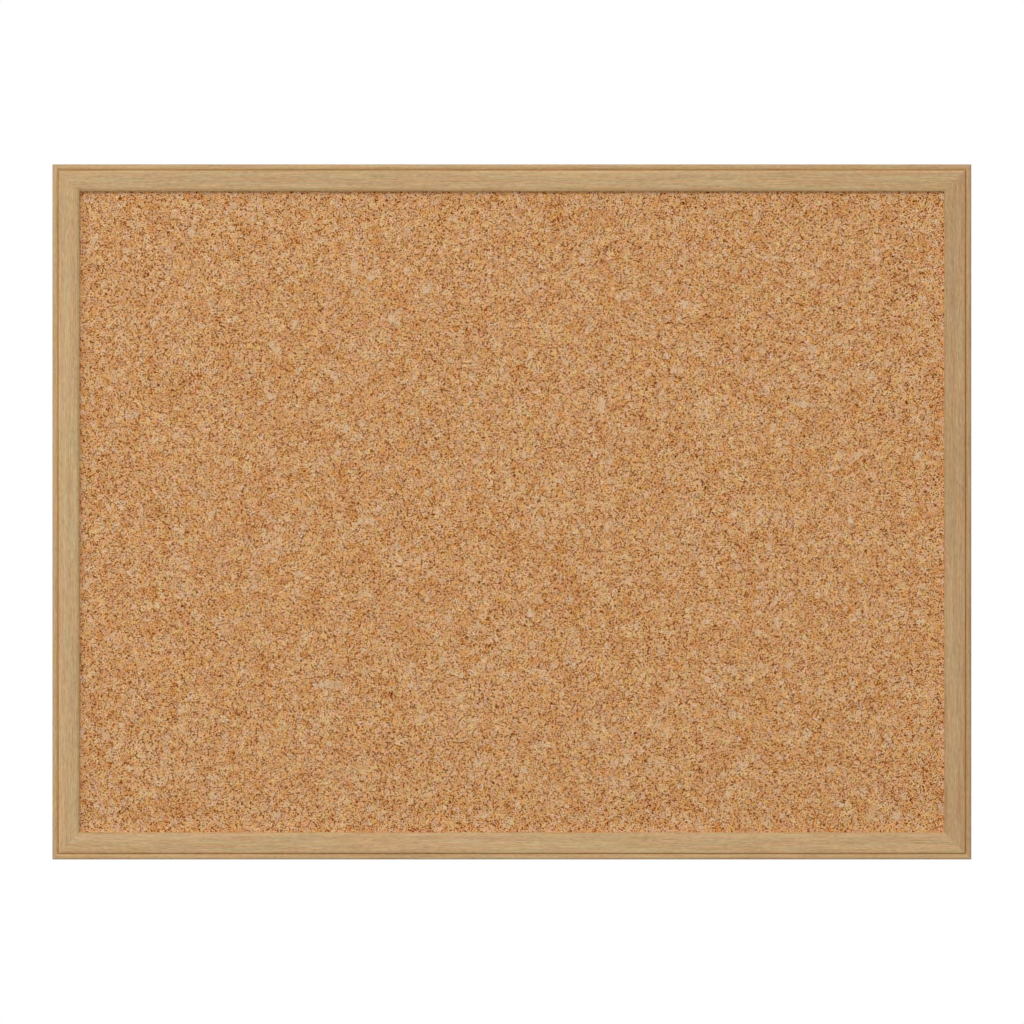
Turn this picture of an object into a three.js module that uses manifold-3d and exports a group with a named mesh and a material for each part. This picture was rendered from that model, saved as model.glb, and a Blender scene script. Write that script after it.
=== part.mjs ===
// Framed cork board with a mitred wooden moulding, hung on the wall by two D-rings.
// Lengths are in millimetres. X is to the right seen from the front, Y goes into the wall and Z is up.
// The origin is on the wall, halfway between the two hooks that carry the board.

import * as THREE from 'three';
import { mergeVertices } from 'three/addons/utils/BufferGeometryUtils.js';
import Module from 'manifold-3d';

const wasm = await Module();
wasm.setup();

// Outer size of the frame, and where the hooks come
const boardWidth = 616;
const boardHeight = 466;
const hooksBelowTop = 80;

// Section of the moulding
const faceWidth = 18.2;
const mouldingDepth = 16;
const rebateWidth = 9.2;
const lipThickness = 4.5;
const backEdgeChamfer = 0.5;
const beadHalfWidth = 2;
const beadHeight = 1.1;
const beadDrop = 0.9;
const grooveDepth = 0.9;
const grooveWidth = 0.25;
const shoulderWidth = 3.6;
const shoulderDrop = 0.8;
const sightEdgeWidth = 2.7;
const sightEdgeRadius = 4;

// Gaps left by glue, by seats and by clearances
const glueLine = 0.1;
const seatGap = 0.1;
const drivenClearance = 0.15;
const panelClearance = 0.5;
const cutOverrun = 1;

// Layers of the panel
const corkThickness = 2.5;
const coreThickness = 6;
const backingThickness = 0.8;

// V-nails across the mitres
const nailThickness = 0.5;
const nailHeight = 10;
const nailLegLength = 4.2;
const nailFromRebate = 1.6;
const nailSink = 0.3;

// Framer's points in the rebate wall
const pointWidth = 6;
const pointTipWidth = 3.6;
const pointThickness = 0.5;
const pointDriven = 5;
const pointTipLength = 2;
const pointReach = 8;
const pointCornerRadius = 1.2;
const railPointShares = [-0.34, 0, 0.34];
const stilePointShares = [-0.2, 0.2];

// D-rings
const wireDiameter = 1.8;
const ringSideGap = 0.4;
const ringBendRadius = 1.2;
const ringEndGap = 0.9;
const ringButtGap = 0.2;
const ringEdgeInset = 0.6;

// Folded straps that carry the rings
const strapWidth = 6.4;
const leafThickness = 0.7;
const leafSlit = 0.1;
const loopClearance = 0.2;
const tuckBendRadius = 1.2;
const screwBelowBar = 7;

// Pan-head screws
const screwDiameter = 2.5;
const screwLength = 12;
const screwTipLength = 2.4;
const screwHeadDiameter = 5.2;
const screwHeadHeight = 1.6;
const screwHeadRim = 0.5;
const recessLength = 2.6;
const recessWidth = 0.6;
const recessDepth = 0.9;

// Rubber bumpers
const bumperDiameter = 7.6;
const bumperHeight = 4.1;
const bumperRounding = 1.2;
const bumperFromSide = 22;

// Fineness of the curves
const sectionSegments = 4;
const wireSides = 10;
const ringSteps = 44;
const turnedSides = 20;

// Levels and places that follow from the sizes above
const landWidth = faceWidth - rebateWidth;
const shelfLevel = mouldingDepth - lipThickness;
const beadMidLevel = mouldingDepth - beadDrop - beadHeight;
const grooveLevel = mouldingDepth - beadDrop - grooveDepth;
const grooveAngle = Math.asin((grooveLevel - beadMidLevel) / beadHeight);
const riserInset = beadHalfWidth * (1 + Math.cos(grooveAngle)) + grooveWidth;
const sightAngle = Math.acos(sightEdgeWidth / sightEdgeRadius);
const standOff = bumperHeight + seatGap;

const corkFront = shelfLevel - seatGap;
const coreFront = corkFront - corkThickness - glueLine;
const backingFront = coreFront - coreThickness - glueLine;
const backingBack = backingFront - backingThickness;
const pointLevel = backingBack - seatGap - pointThickness / 2;
const panelWidth = boardWidth - 2 * (landWidth + panelClearance);
const panelHeight = boardHeight - 2 * (landWidth + panelClearance);

const wireRadius = wireDiameter / 2;
const ringHalfWidth = strapWidth / 2 + ringSideGap + wireRadius;
const ringReach = screwBelowBar + strapWidth / 2 + ringEndGap + wireRadius;
const bowCentre = ringReach - ringHalfWidth;
const hookSeat = ringReach - wireRadius;

const loopMidRadius = wireRadius + loopClearance + leafThickness / 2;
const barFromFront = leafThickness / 2 + loopMidRadius;
const strapDepth = 2 * leafThickness + leafSlit;
const hangerX = boardWidth / 2 - ringHalfWidth - wireRadius - ringEdgeInset;

// Heights measured from the middle of the board
const middleHeight = hooksBelowTop - boardHeight / 2;
const barHeight = -hookSeat - middleHeight;
const screwHeight = barHeight - screwBelowBar;

// Turns flat outlines so that their depth runs from the back towards the front
const facingBack = new THREE.Matrix4().makeRotationX(Math.PI / 2);
// Turns outlines drawn in depth and height so that they are as thick as they are wide along X
const facingSide = new THREE.Matrix4().makeBasis(
  new THREE.Vector3(0, 1, 0),
  new THREE.Vector3(0, 0, 1),
  new THREE.Vector3(1, 0, 0),
);

// Solids: turning closed meshes into bodies that can be cut, and back

function toSolid(geometry, place = new THREE.Matrix4()) {
  const plain = geometry.clone().applyMatrix4(place);
  plain.deleteAttribute('normal');
  plain.deleteAttribute('uv');
  const merged = mergeVertices(plain);
  const mesh = new wasm.Mesh({
    numProp: 3,
    vertProperties: new Float32Array(merged.attributes.position.array),
    triVerts: new Uint32Array(merged.index.array),
  });
  return new wasm.Manifold(mesh);
}

function toGeometry(solid) {
  const mesh = solid.getMesh();
  const geometry = new THREE.BufferGeometry();
  geometry.setAttribute('position', new THREE.BufferAttribute(mesh.vertProperties, 3));
  geometry.setIndex(new THREE.BufferAttribute(mesh.triVerts, 1));
  geometry.computeVertexNormals();
  return geometry;
}

function extrude(outline, depth, segments = sectionSegments) {
  const options = { depth, bevelEnabled: false, curveSegments: segments };
  return new THREE.ExtrudeGeometry(outline, options);
}

function placeAt(x, y, z, turn = 0) {
  return new THREE.Matrix4().makeRotationY(turn).setPosition(x, y, z);
}

// Moulding: its section goes from the outer edge inwards and from the back to the front

function mouldingSection() {
  const section = new THREE.Shape();
  const beadEnd = mouldingDepth - shoulderDrop;
  const sightInset = faceWidth - sightEdgeWidth;
  section.moveTo(backEdgeChamfer, 0);
  section.lineTo(0, backEdgeChamfer);
  section.lineTo(0, beadMidLevel);
  section.absellipse(beadHalfWidth, beadMidLevel, beadHalfWidth, beadHeight, Math.PI, grooveAngle, true);
  section.lineTo(riserInset, grooveLevel);
  section.lineTo(riserInset, beadEnd);
  section.absellipse(
    riserInset + shoulderWidth, beadEnd, shoulderWidth, shoulderDrop, Math.PI, Math.PI / 2, true,
  );
  section.lineTo(sightInset, mouldingDepth);
  section.absarc(sightInset, mouldingDepth - sightEdgeRadius, sightEdgeRadius, Math.PI / 2, sightAngle, true);
  section.lineTo(faceWidth, shelfLevel);
  section.lineTo(landWidth, shelfLevel);
  section.lineTo(landWidth, 0);
  section.closePath();
  return section;
}

// A straight length with both ends mitred: X along it, Z from the outer edge inwards
function mouldingLength(length) {
  const geometry = extrude(mouldingSection(), 1);
  const position = geometry.attributes.position;
  const mitreGap = glueLine / 2 / Math.cos(Math.PI / 4);
  for (let i = 0; i < position.count; i += 1) {
    const inset = position.getX(i);
    const level = position.getY(i);
    const end = position.getZ(i) > 0 ? 1 : -1;
    position.setXYZ(i, end * (length / 2 - inset - mitreGap), -level, inset);
  }
  return geometry;
}

const lengths = [
  {
    name: 'bottom_rail',
    edge: 'bottom',
    length: boardWidth,
    shares: railPointShares,
    place: placeAt(0, 0, -boardHeight / 2),
  },
  {
    name: 'top_rail',
    edge: 'top',
    length: boardWidth,
    shares: railPointShares,
    place: placeAt(0, 0, boardHeight / 2, Math.PI),
  },
  {
    name: 'left_stile',
    edge: 'left',
    length: boardHeight,
    shares: stilePointShares,
    place: placeAt(-boardWidth / 2, 0, 0, Math.PI / 2),
  },
  {
    name: 'right_stile',
    edge: 'right',
    length: boardHeight,
    shares: stilePointShares,
    place: placeAt(boardWidth / 2, 0, 0, -Math.PI / 2),
  },
];

// V-nail: an angle strip whose two legs each lie in one of the mitred ends

function nailBody(clearance) {
  const apex = landWidth - nailFromRebate + clearance;
  const inner = landWidth - nailFromRebate - nailThickness - clearance;
  const legEnd = landWidth - nailFromRebate - nailLegLength - clearance;
  const outline = new THREE.Shape();
  outline.moveTo(apex, apex);
  outline.lineTo(legEnd, apex);
  outline.lineTo(legEnd, inner);
  outline.lineTo(inner, inner);
  outline.lineTo(inner, legEnd);
  outline.lineTo(apex, legEnd);
  outline.closePath();
  return outline;
}

function vNail() {
  return extrude(nailBody(0), nailHeight).applyMatrix4(facingBack).translate(0, -nailSink, 0);
}

function vNailSlot() {
  const depth = nailSink + nailHeight + drivenClearance + cutOverrun;
  const slot = extrude(nailBody(drivenClearance), depth);
  return slot.applyMatrix4(facingBack).translate(0, cutOverrun, 0);
}

const corners = [
  { name: 'bottom_left', place: placeAt(-boardWidth / 2, 0, -boardHeight / 2) },
  { name: 'bottom_right', place: placeAt(boardWidth / 2, 0, -boardHeight / 2, -Math.PI / 2) },
  { name: 'top_right', place: placeAt(boardWidth / 2, 0, boardHeight / 2, Math.PI) },
  { name: 'top_left', place: placeAt(-boardWidth / 2, 0, boardHeight / 2, Math.PI / 2) },
];

// Framer's point: a flat tab, tapered where it is driven in, that lies over the backing

function pointOutline(clearance) {
  const half = pointWidth / 2 + clearance;
  const tipHalf = pointTipWidth / 2 + clearance;
  const round = pointCornerRadius;
  const outline = new THREE.Shape();
  outline.moveTo(-tipHalf, -pointDriven - clearance);
  outline.lineTo(tipHalf, -pointDriven - clearance);
  outline.lineTo(half, -pointDriven + pointTipLength);
  outline.lineTo(half, pointReach - round);
  outline.absarc(half - round, pointReach - round, round, 0, Math.PI / 2, false);
  outline.lineTo(-half + round, pointReach);
  outline.absarc(-half + round, pointReach - round, round, Math.PI / 2, Math.PI, false);
  outline.lineTo(-half, -pointDriven + pointTipLength);
  outline.closePath();
  return outline;
}

function pointBody(clearance) {
  const thickness = pointThickness + 2 * clearance;
  const body = extrude(pointOutline(clearance), thickness, 2).applyMatrix4(facingBack);
  return body.translate(0, thickness / 2 - pointLevel, landWidth);
}

function pointPlaces() {
  const places = [];
  for (const { edge, length, shares, place } of lengths) {
    shares.forEach((share, index) => {
      const along = placeAt(share * length, 0, 0);
      places.push({ name: `framers_point_${edge}_${index + 1}`, place: place.clone().multiply(along) });
    });
  }
  return places;
}

// Strap: one strip folded round the ring's bar, both ends held by the screw

function strapFold() {
  const half = leafThickness / 2;
  const end = -screwBelowBar - strapWidth;
  const backMid = leafThickness + leafSlit + half;
  const tuckMid = backMid + tuckBendRadius;
  const reach = loopMidRadius + tuckBendRadius;
  const wrap = Math.acos((tuckMid - barFromFront) / reach);
  const tuckHeight = -reach * Math.sin(wrap);
  const fold = new THREE.Shape();
  fold.moveTo(0, end);
  fold.lineTo(0, 0);
  fold.absarc(barFromFront, 0, loopMidRadius + half, Math.PI, -wrap, true);
  fold.absarc(tuckMid, tuckHeight, tuckBendRadius - half, Math.PI - wrap, Math.PI, false);
  fold.lineTo(backMid + half, end);
  fold.lineTo(backMid - half, end);
  fold.lineTo(backMid - half, tuckHeight);
  fold.absarc(tuckMid, tuckHeight, tuckBendRadius + half, Math.PI, Math.PI - wrap, true);
  fold.absarc(barFromFront, 0, loopMidRadius - half, -wrap, Math.PI, false);
  fold.lineTo(leafThickness, end);
  fold.closePath();
  return fold;
}

// The strap seen from the back: a loop end cut square and a free end rounded about the screw
function strapPlan() {
  const half = strapWidth / 2;
  const top = barFromFront + cutOverrun;
  const plan = new THREE.Shape();
  plan.moveTo(half, top);
  plan.lineTo(-half, top);
  plan.lineTo(-half, -screwBelowBar);
  plan.absarc(0, -screwBelowBar, half, Math.PI, 2 * Math.PI, false);
  plan.closePath();
  return plan;
}

function strap() {
  const fold = extrude(strapFold(), strapWidth + 2 * cutOverrun);
  fold.applyMatrix4(facingSide).translate(-strapWidth / 2 - cutOverrun, 0, 0);
  const planDepth = 2 * barFromFront + 2 * cutOverrun;
  const plan = extrude(strapPlan(), planDepth).applyMatrix4(facingBack);
  plan.translate(0, planDepth - cutOverrun, 0);
  const holeRadius = screwDiameter / 2 + drivenClearance;
  const hole = new THREE.CylinderGeometry(holeRadius, holeRadius, planDepth, turnedSides);
  hole.translate(0, planDepth / 2 - cutOverrun, -screwBelowBar);
  const body = toSolid(fold).intersect(toSolid(plan)).subtract(toSolid(hole));
  return toGeometry(body);
}

// D-ring: one bent wire, its butt ends meeting in the strap's loop

class RingLine extends THREE.Curve {
  constructor() {
    super();
    const half = ringHalfWidth;
    const bend = ringBendRadius;
    this.path = new THREE.Path();
    this.path.moveTo(ringButtGap / 2, 0);
    this.path.lineTo(half - bend, 0);
    this.path.absarc(half - bend, -bend, bend, Math.PI / 2, 0, true);
    this.path.lineTo(half, -bowCentre);
    this.path.absarc(0, -bowCentre, half, 0, -Math.PI, true);
    this.path.lineTo(-half, -bend);
    this.path.absarc(-half + bend, -bend, bend, Math.PI, Math.PI / 2, true);
    this.path.lineTo(-ringButtGap / 2, 0);
  }

  getPoint(share, target = new THREE.Vector3()) {
    const point = this.path.getPoint(share);
    return target.set(point.x, 0, point.y);
  }
}

function dRing() {
  const wire = new THREE.Shape();
  wire.absarc(0, 0, wireRadius, 0, 2 * Math.PI, false);
  const options = { steps: ringSteps, curveSegments: wireSides / 2, extrudePath: new RingLine() };
  return new THREE.ExtrudeGeometry(wire, options);
}

// Pan-head screw: the head behind the strap and the shank forwards into the wood

function panHeadScrew() {
  const shankRadius = screwDiameter / 2;
  const headRadius = screwHeadDiameter / 2;
  const profile = [new THREE.Vector2(0, -screwLength)];
  profile.push(new THREE.Vector2(shankRadius, screwTipLength - screwLength));
  profile.push(new THREE.Vector2(shankRadius, 0));
  profile.push(new THREE.Vector2(headRadius, 0));
  for (const share of [0, 0.35, 0.7, 1]) {
    const angle = share * Math.PI / 2;
    const rise = (screwHeadHeight - screwHeadRim) * Math.sin(angle);
    profile.push(new THREE.Vector2(headRadius * Math.cos(angle), screwHeadRim + rise));
  }
  profile[profile.length - 1].x = 0;
  const turned = toSolid(new THREE.LatheGeometry(profile, turnedSides));
  const depth = recessDepth + cutOverrun;
  const middle = screwHeadHeight + cutOverrun - depth / 2;
  const across = new THREE.BoxGeometry(recessLength, depth, recessWidth).translate(0, middle, 0);
  const upright = new THREE.BoxGeometry(recessWidth, depth, recessLength).translate(0, middle, 0);
  return toGeometry(turned.subtract(toSolid(across)).subtract(toSolid(upright)));
}

function pilotHole() {
  const radius = screwDiameter / 2 + drivenClearance;
  const depth = screwLength + drivenClearance - strapDepth - 2 * seatGap;
  const hole = new THREE.CylinderGeometry(radius, radius, depth + cutOverrun, turnedSides);
  return hole.translate(0, (cutOverrun - depth) / 2, 0);
}

// Rubber bumper: a turned foot with a flat face towards the wall

function bumper() {
  const radius = bumperDiameter / 2;
  const flatRadius = radius - bumperRounding;
  const profile = [new THREE.Vector2(0, 0), new THREE.Vector2(radius, 0)];
  for (const share of [0, 0.25, 0.5, 0.75, 1]) {
    const angle = share * Math.PI / 2;
    const out = flatRadius + bumperRounding * Math.cos(angle);
    profile.push(new THREE.Vector2(out, bumperHeight - bumperRounding * (1 - Math.sin(angle))));
  }
  profile.push(new THREE.Vector2(0, bumperHeight));
  return new THREE.LatheGeometry(profile, turnedSides);
}

// Panel layer: its front face lies at a level measured from the back of the frame

function panelLayer(thickness, frontLevel) {
  const layer = new THREE.BoxGeometry(panelWidth, thickness, panelHeight);
  return layer.translate(0, thickness / 2 - frontLevel, 0);
}

// Materials

function material(color, roughness, metalness = 0) {
  return new THREE.MeshStandardMaterial({ color, roughness, metalness });
}

const wood = material(0xbf9f78, 0.6);
const cork = material(0xc08f60, 0.9);
const softboard = material(0x9a7c57, 0.95);
const greyBoard = material(0xa39c90, 0.9);
const platedSteel = material(0xb9bcbf, 0.35, 1);
const wireSteel = material(0xc4c6c8, 0.3, 1);
const rubber = material(0xe3e1dc, 0.7);

// Assembly, measured from the middle of the frame's back

const board = new THREE.Group();

function addPiece(name, geometry, surface, place = new THREE.Matrix4()) {
  const mesh = new THREE.Mesh(geometry, surface.clone());
  mesh.name = name;
  mesh.applyMatrix4(place);
  board.add(mesh);
}

const points = pointPlaces();
const hangers = [
  { name: 'left', x: -hangerX },
  { name: 'right', x: hangerX },
];

for (const { name, length, place } of lengths) {
  let body = toSolid(mouldingLength(length), place);
  for (const corner of corners) {
    body = body.subtract(toSolid(vNailSlot(), corner.place));
  }
  for (const point of points) {
    body = body.subtract(toSolid(pointBody(drivenClearance), point.place));
  }
  for (const hanger of hangers) {
    body = body.subtract(toSolid(pilotHole(), placeAt(hanger.x, 0, screwHeight)));
  }
  addPiece(name, toGeometry(body), wood);
}

addPiece('cork_sheet', panelLayer(corkThickness, corkFront), cork);
addPiece('core_board', panelLayer(coreThickness, coreFront), softboard);
addPiece('backing_sheet', panelLayer(backingThickness, backingFront), greyBoard);

for (const corner of corners) {
  addPiece(`v_nail_${corner.name}`, vNail(), platedSteel, corner.place);
}
for (const point of points) {
  addPiece(point.name, pointBody(0), platedSteel, point.place);
}

for (const hanger of hangers) {
  const strapY = seatGap;
  const screwY = strapY + strapDepth + seatGap;
  addPiece(`${hanger.name}_strap`, strap(), platedSteel, placeAt(hanger.x, strapY, barHeight));
  addPiece(`${hanger.name}_ring`, dRing(), wireSteel, placeAt(hanger.x, strapY + barFromFront, barHeight));
  addPiece(`${hanger.name}_screw`, panHeadScrew(), platedSteel, placeAt(hanger.x, screwY, screwHeight));
}

const bumperHeightOnRail = (landWidth + backEdgeChamfer) / 2 - boardHeight / 2;
for (const side of [{ name: 'left', x: -1 }, { name: 'right', x: 1 }]) {
  const x = side.x * (boardWidth / 2 - bumperFromSide);
  addPiece(`${side.name}_bumper`, bumper(), rubber, placeAt(x, seatGap, bumperHeightOnRail));
}

board.position.set(0, -standOff, middleHeight);

const corkBoard = new THREE.Group();
corkBoard.name = 'cork_board';
corkBoard.add(board);

export default corkBoard;
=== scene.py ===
"""Framed cork board: its mouldings, cork face, panel and hanging hardware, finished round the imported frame.

Everything is in metres. X is to the right seen from the front, Y goes into the wall and Z is up.
"""

import math
import random

import bmesh
import bpy
from mathutils import Matrix, Vector, noise


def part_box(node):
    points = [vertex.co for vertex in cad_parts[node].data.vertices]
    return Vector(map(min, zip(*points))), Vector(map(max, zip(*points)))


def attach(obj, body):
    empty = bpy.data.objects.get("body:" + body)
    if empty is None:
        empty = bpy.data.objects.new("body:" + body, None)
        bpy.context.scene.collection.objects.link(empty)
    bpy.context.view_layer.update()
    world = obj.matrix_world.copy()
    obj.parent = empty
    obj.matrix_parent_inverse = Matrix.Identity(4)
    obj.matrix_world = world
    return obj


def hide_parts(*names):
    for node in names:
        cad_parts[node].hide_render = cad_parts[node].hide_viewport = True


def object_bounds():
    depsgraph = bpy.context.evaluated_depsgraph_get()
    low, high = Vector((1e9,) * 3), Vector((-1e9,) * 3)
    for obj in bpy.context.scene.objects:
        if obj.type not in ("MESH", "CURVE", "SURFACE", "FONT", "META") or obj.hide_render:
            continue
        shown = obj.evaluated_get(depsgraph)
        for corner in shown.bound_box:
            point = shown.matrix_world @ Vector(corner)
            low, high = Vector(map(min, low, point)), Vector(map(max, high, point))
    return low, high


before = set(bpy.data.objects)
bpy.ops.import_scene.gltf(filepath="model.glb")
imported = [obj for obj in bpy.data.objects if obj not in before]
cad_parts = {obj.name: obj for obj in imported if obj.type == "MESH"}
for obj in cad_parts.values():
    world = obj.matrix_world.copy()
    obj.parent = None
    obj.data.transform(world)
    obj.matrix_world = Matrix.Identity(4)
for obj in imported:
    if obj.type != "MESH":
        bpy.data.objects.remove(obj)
cad_low, cad_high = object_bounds()

MM = 0.001
QUARTER = math.pi / 2
HALF_TURN = math.pi
FULL_TURN = 2 * math.pi

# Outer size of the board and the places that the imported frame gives
TOP_LOW, TOP_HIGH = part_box("top_rail")
BOTTOM_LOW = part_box("bottom_rail")[0]
LEFT_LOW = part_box("left_stile")[0]
RIGHT_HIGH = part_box("right_stile")[1]
FACE_WIDTH = TOP_HIGH.z - TOP_LOW.z
MOULDING_DEPTH = TOP_HIGH.y - TOP_LOW.y
BACK = TOP_HIGH.y
WIDTH = RIGHT_HIGH.x - LEFT_LOW.x
HEIGHT = TOP_HIGH.z - BOTTOM_LOW.z
MIDDLE = Vector((0, BACK, (TOP_HIGH.z + BOTTOM_LOW.z) / 2))

# Section of the moulding
REBATE_WIDTH = 9.2 * MM
LIP_THICKNESS = 4.5 * MM
BACK_CHAMFER = 0.5 * MM
BEAD_HALF_WIDTH = 2.0 * MM
BEAD_HEIGHT = 1.1 * MM
BEAD_DROP = 0.9 * MM
GROOVE_DEPTH = 0.9 * MM
GROOVE_WIDTH = 0.25 * MM
SHOULDER_WIDTH = 3.6 * MM
SHOULDER_DROP = 0.8 * MM
SIGHT_WIDTH = 2.7 * MM
SIGHT_RADIUS = 4.0 * MM
LAND = FACE_WIDTH - REBATE_WIDTH
SHELF = MOULDING_DEPTH - LIP_THICKNESS
MITRE_GAP = 0.01 * MM
ARC_STEPS = 14

# Panel: how finely its fronts are worked, and how their relief runs
CORK_STEP = 1.7 * MM
CORK_ROLL = 9 * MM
CORK_ROLL_DEPTH = 0.05 * MM
CORK_PITS = 2.6 * MM
CORK_PIT_DEPTH = 0.35 * MM
CORK_PIT_LEVEL = 0.25
CORK_ROUGHNESS = 0.05 * MM
CORE_STEP = 12 * MM
CORE_WAVE = 30 * MM
CORE_WAVE_DEPTH = 0.04 * MM
BACKING_EDGE = 0.2 * MM

# Hardware: sheet, wire and fasteners
CLEARANCE = 0.12 * MM
OVERRUN = 1.0 * MM
TOLERANCE = 0.1 * MM
WELD = 0.001 * MM
SHEARED_EDGE = 0.08 * MM
NAIL_THICKNESS = 0.5 * MM
POINT_TIP_WIDTH = 3.6 * MM
POINT_TIP_LENGTH = 2.0 * MM
POINT_ROUNDING = 1.2 * MM
POINT_BORDER = 1.1 * MM
POINT_PANEL_SLOPE = 0.25 * MM
POINT_PANEL_DEPTH = 0.12 * MM
LEAF_THICKNESS = 0.7 * MM
LEAF_SLIT = 0.1 * MM
LEAF_CORNER = 0.15 * MM
LEAF_SPARE = 1.0 * MM
PRESS_INSET = 0.01 * MM
LOOP_CLEARANCE = 0.2 * MM
TUCK_RADIUS = 1.2 * MM
SCREW_BELOW_BAR = 7.0 * MM
SCREW_DIAMETER = 2.5 * MM
SCREW_CORE = 1.7 * MM
SCREW_TIP = 2.4 * MM
SCREW_HEAD_HEIGHT = 1.6 * MM
SCREW_HEAD_RIM = 0.5 * MM
THREAD_PITCH = 1.1 * MM
THREAD_ROOT = 0.05 * MM
THREAD_END = 1.0 * MM
THREAD_STEPS = 24
RECESS_LENGTH = 2.6 * MM
RECESS_WIDTH = 0.6 * MM
RECESS_DEPTH = 0.9 * MM
WIRE_DIAMETER = 1.8 * MM
RING_BEND_RADIUS = 1.2 * MM
RING_BUTT_GAP = 0.2 * MM
RING_BUTT_EDGE = 0.12 * MM
RING_WELD = 0.02 * MM
BUMPER_ROUNDING = 1.2 * MM
BUMPER_FOOT = 0.2 * MM
BUMPER_DIMPLE = 0.25 * MM
DIMPLE_RIM_SHARE = 0.45
DIMPLE_FLOOR_SHARE = 0.3

# How far the cross of each screw is turned, in degrees
SCREW_TWISTS = {"left": 21, "right": 64}

# How many steps a round shape or a bend of the hardware takes
CORNER_STEPS = 8
BEND_STEPS = 12
BOW_STEPS = 24
FOLD_STEPS = 36
ROUND_STEPS = 32
TURN_STEPS = 48
WIRE_SIDES = 24

# Where the photograph's frame lies, in pixels of a 1024 square
PHOTO_SIZE = 1024
PHOTO_LEFT, PHOTO_RIGHT = 52.45, 971.31
PHOTO_TOP, PHOTO_BOTTOM = 164.4, 859.37

# The layout that a baked picture of a piece uses, as shares of the picture
LAYOUT = "OFBake"
MARGIN = 0.005

# A moulding lies in three strips, and the sawn ends and the slots in a band above them
STRIPS = 3
STRIP_HEIGHT = 0.31
HIDDEN_SHARE = 0.3
BAND_LOW = 0.95
BAND_HEIGHT = 0.04
LEFT_END, RIGHT_END = 0.01, 0.31
END_WIDTH = 0.25
SLOT_LEFT = 0.65
SLOT_WIDTH = 0.3

# A sheet's front lies over two thin bands, its rim and its back
FRONT_LOW = 0.065
FRONT_HEIGHT = 0.93
RIM_LOW = 0.035
REAR_LOW = MARGIN
THIN_BAND = 0.02

# Shades of the four lengths of moulding, as a picture shows them, and how far the grain strays from each
OAK_SHADES = {
    "bottom_rail": (215, 177, 131),
    "top_rail": (206, 170, 125),
    "left_stile": (209, 173, 128),
    "right_stile": (199, 160, 116),
}
OAK_CONTRAST = 25
RAW_SHADE = (199, 173, 135)
RAW_CONTRAST = 18

# Lamps: the place of each, its width in metres and its watts
LAMPS = {
    "front": ((-0.5, -5.0, 0.3), 1.6, 60),
    "above": ((-0.8, -9.0, 4.0), 3.6, 325),
    "left": ((-4.0, -3.6, 0.3), 2.4, 52),
    "behind": ((0.9, 1.8, 1.0), 1.6, 46),
}
SKY_BELOW = 0.14
SKY_ABOVE = 0.56
CAMERA_DISTANCE = 2.0
FLOOR_HALF = 3
FLOOR_GAP = 0.2 * MM


# Small helpers


def tone(red, green, blue):
    """A colour as a picture shows it, 0 to 255 each, as the linear colour that a shader takes."""
    linear = []
    for value in (red, green, blue):
        share = value / 255
        linear.append(share / 12.92 if share <= 0.04045 else ((share + 0.055) / 1.055) ** 2.4)
    return (*linear, 1.0)


def only(kind, items):
    return [item for item in items if isinstance(item, kind)]


def finish_piece(bm, name, finishes, body, stands_for, smooth=30.0):
    """Makes the piece from its bmesh, gives it its finishes and lets it ride on its body."""
    mesh = bpy.data.meshes.new(name)
    bm.normal_update()
    bm.to_mesh(mesh)
    bm.free()
    mesh.shade_smooth()
    mesh.set_sharp_from_angle(angle=math.radians(smooth))
    piece = bpy.data.objects.new(name, mesh)
    bpy.context.scene.collection.objects.link(piece)
    for finish in finishes:
        mesh.materials.append(finish)
    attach(piece, body)
    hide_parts(stands_for)
    return piece


def cut(bm, cutters):
    """Takes the cutters' solids out of the solid in bm, and gives the bmesh of what is left."""
    made = []
    for name, solid in (("blank", bm), ("cutter", cutters)):
        mesh = bpy.data.meshes.new(name)
        solid.to_mesh(mesh)
        solid.free()
        piece = bpy.data.objects.new(name, mesh)
        bpy.context.scene.collection.objects.link(piece)
        made.append(piece)
    blank, cutter = made
    boolean = blank.modifiers.new("cut", "BOOLEAN")
    boolean.operation = "DIFFERENCE"
    boolean.solver = "EXACT"
    boolean.use_self = True
    boolean.object = cutter
    evaluated = blank.evaluated_get(bpy.context.evaluated_depsgraph_get())
    left = bmesh.new()
    left.from_mesh(evaluated.to_mesh())
    evaluated.to_mesh_clear()
    for piece in made:
        mesh = piece.data
        bpy.data.objects.remove(piece)
        bpy.data.meshes.remove(mesh)
    return left


def block(bm, low, high):
    """A plain block between two corners, for cutting and as a blank."""
    size = high - low
    place = Matrix.Translation((low + high) / 2) @ Matrix.Diagonal((*size, 1))
    return bmesh.ops.create_cube(bm, size=1, matrix=place)["verts"]


def rod(bm, start, end, radius):
    """A round rod along Y between two points, for drilling."""
    place = Matrix.Translation((start + end) / 2) @ Matrix.Rotation(QUARTER, 4, "X")
    length = (end - start).length
    bmesh.ops.create_cone(
        bm, cap_ends=True, segments=ROUND_STEPS, radius1=radius, radius2=radius, depth=length, matrix=place,
    )


def chain(bm, points):
    """Straight edges through the points, as the start of an outline."""
    verts = [bm.verts.new(point) for point in points]
    for here, after in zip(verts, verts[1:]):
        bm.edges.new((here, after))
    return verts


def swing(bm, start, centre, axis, angle, steps):
    """Carries one vertex round an arc, leaving its edges, and gives the arc's new vertices."""
    first = len(bm.verts)
    bmesh.ops.spin(
        bm, geom=[start], cent=centre, axis=axis, angle=angle, steps=steps, use_duplicate=False,
    )
    bm.verts.ensure_lookup_table()
    return bm.verts[first:]


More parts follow.
